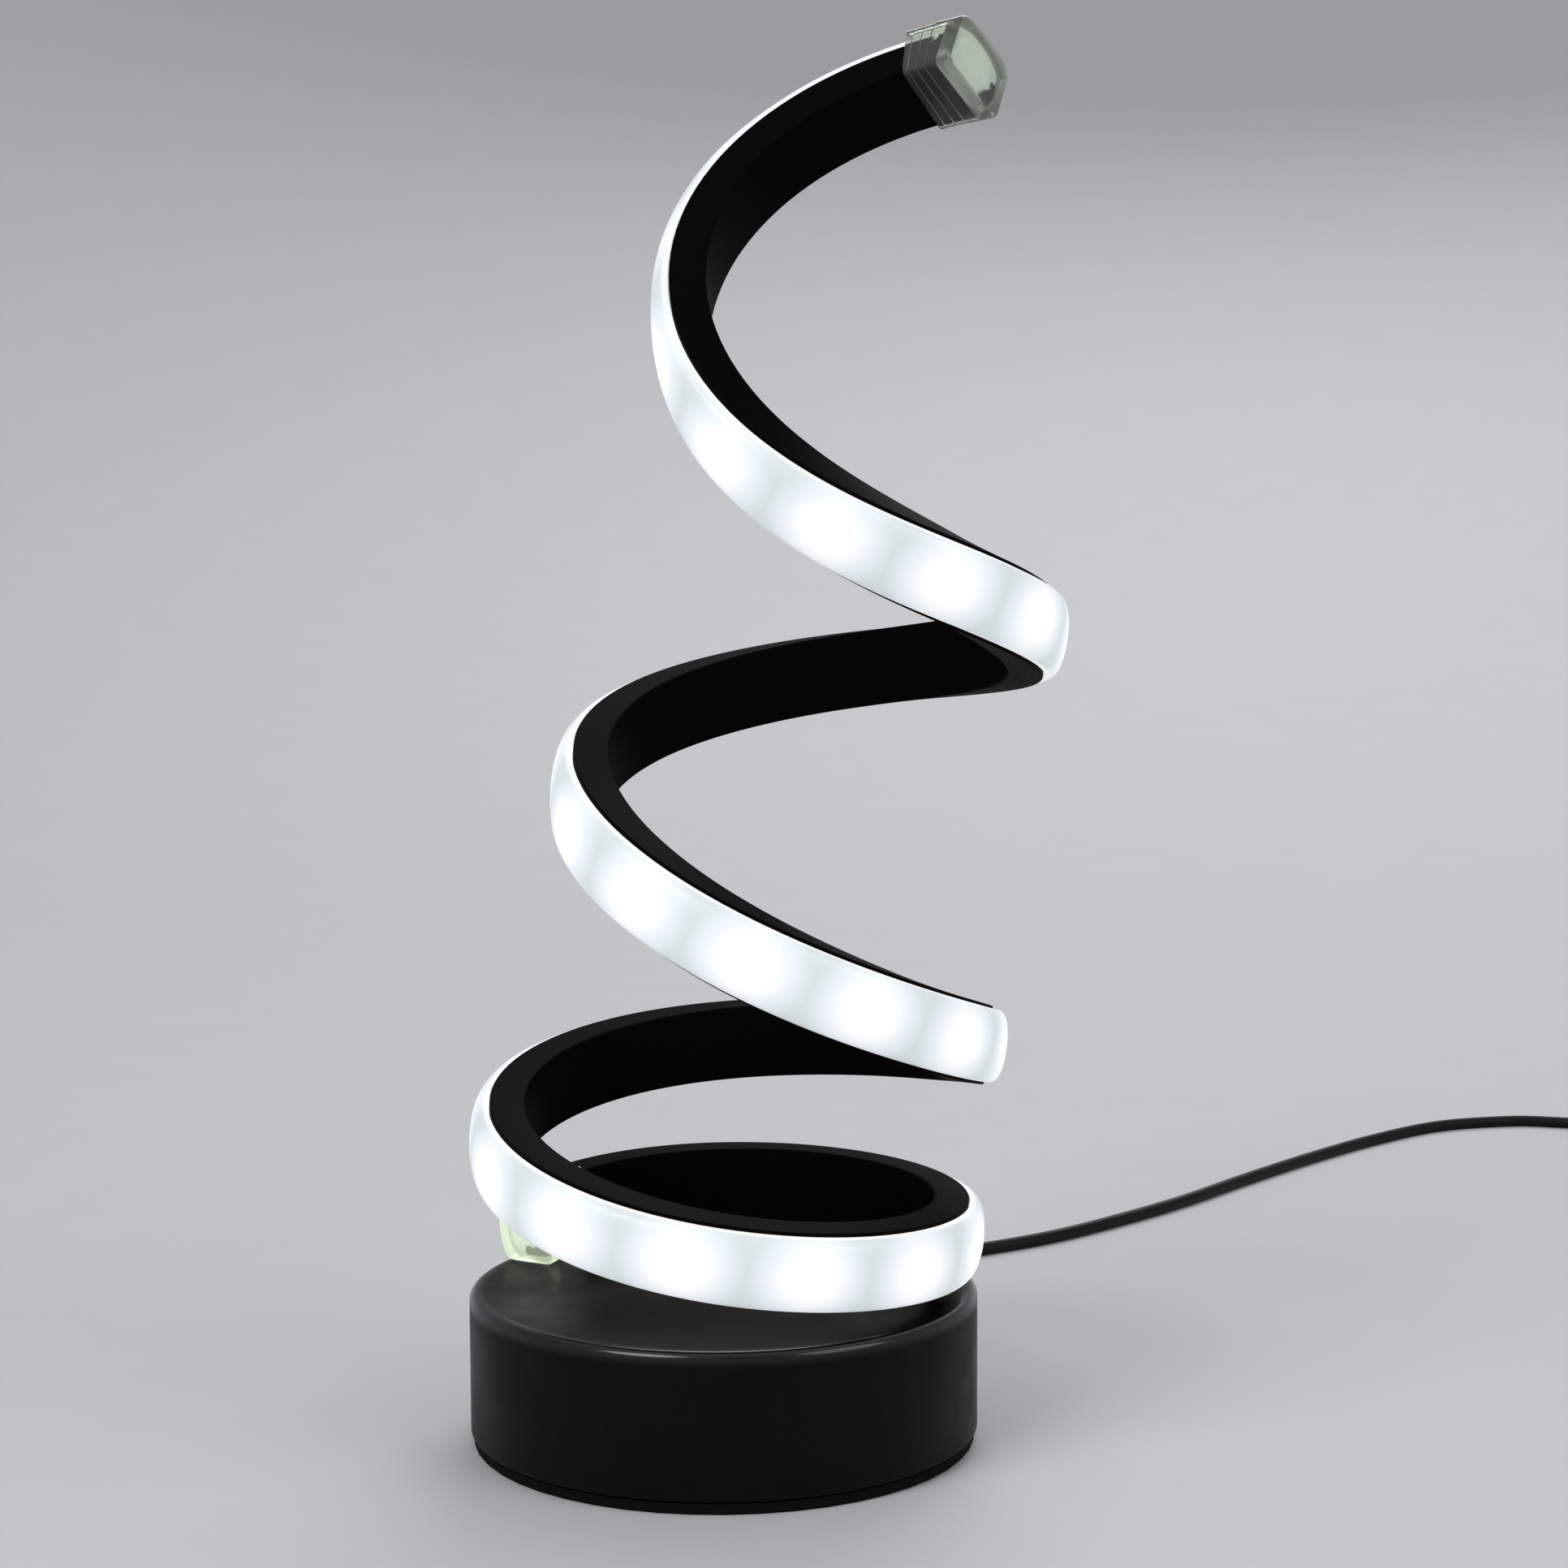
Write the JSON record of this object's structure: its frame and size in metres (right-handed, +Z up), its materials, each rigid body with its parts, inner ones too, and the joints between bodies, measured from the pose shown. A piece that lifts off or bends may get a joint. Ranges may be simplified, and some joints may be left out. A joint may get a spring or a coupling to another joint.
{
  "type": "spiral led lamp",
  "caption": "Table lamp: a lit black channel with an opal cover winds upward as a leaning spiral from a weighted round base; a low-voltage lead with a switch and plug leaves the back.",
  "frame": {"origin": "centre of the underside of the round foot, on the surface that the lamp stands on", "axes": "+Z up; the front of the lamp faces -Y and the lead leaves the base's back towards +Y; +X is to the right seen from the front"},
  "size_m": [0.3858, 0.3845, 0.3002],
  "materials": {
    "base_paint": "satin fine-textured black",
    "channel_black": "matt black anodised",
    "opal": "opal white, lit from inside",
    "tape_white": "white tape with leds",
    "clear_plastic": "clear, slightly green",
    "steel": "zinc plated",
    "iron": "as cast",
    "rubber": "matt black",
    "black_plastic": "satin black",
    "white_plastic": "white",
    "cord_jacket": "satin black",
    "red_insulation": "red",
    "brass": "plated"
  },
  "bodies": {
    "lamp": {"base_cover": "base_paint", "base_plate": "steel", "base_screw_1": "steel", "base_screw_2": "steel", "base_screw_3": "steel", "base_weight": "iron", "coil_tie": "rubber", "cord_bushing": "rubber", "cord_coil": "cord_jacket", "cord_core_black": "cord_jacket", "cord_core_red": "red_insulation", "cord_lamp_side": "cord_jacket", "cord_stop_ring": "black_plastic", "cord_switch_to_coil": "cord_jacket", "cord_tail": "cord_jacket", "end_cap_lower": "clear_plastic", "end_cap_upper": "clear_plastic", "feed_wire_black": "cord_jacket", "feed_wire_red": "red_insulation", "foot_pad": "rubber", "joint_sleeve_1": "rubber", "joint_sleeve_2": "rubber", "led_tape": "tape_white", "opal_diffuser": "opal", "plug_body": "black_plastic", "plug_contact_1": "brass", "plug_contact_2": "brass", "plug_contact_3": "brass", "plug_contact_4": "brass", "plug_shell": "steel", "plug_tongue": "white_plastic", "rocker_pin": "steel", "spiral_channel": "channel_black", "strip_screw_1": "steel", "strip_screw_2": "steel", "strip_screw_3": "steel", "strip_spacer_1": "black_plastic", "strip_spacer_2": "black_plastic", "strip_spacer_3": "black_plastic", "switch_contact_1": "brass", "switch_contact_2": "brass", "switch_lower_half": "black_plastic", "switch_screw_1": "steel", "switch_screw_2": "steel", "switch_upper_half": "black_plastic", "wire_grommet": "rubber"},
    "rocker": {"switch_rocker": "black_plastic"}
  },
  "joints": [
    {"name": "switch_rocker_tilt", "type": "hinge", "parent": "lamp", "child": "rocker", "pos_m": [0.3105, 0.276, 0.0099], "axis": [0.9063, 0.4226, 0], "range_deg": [-18, 0]}
  ]
}
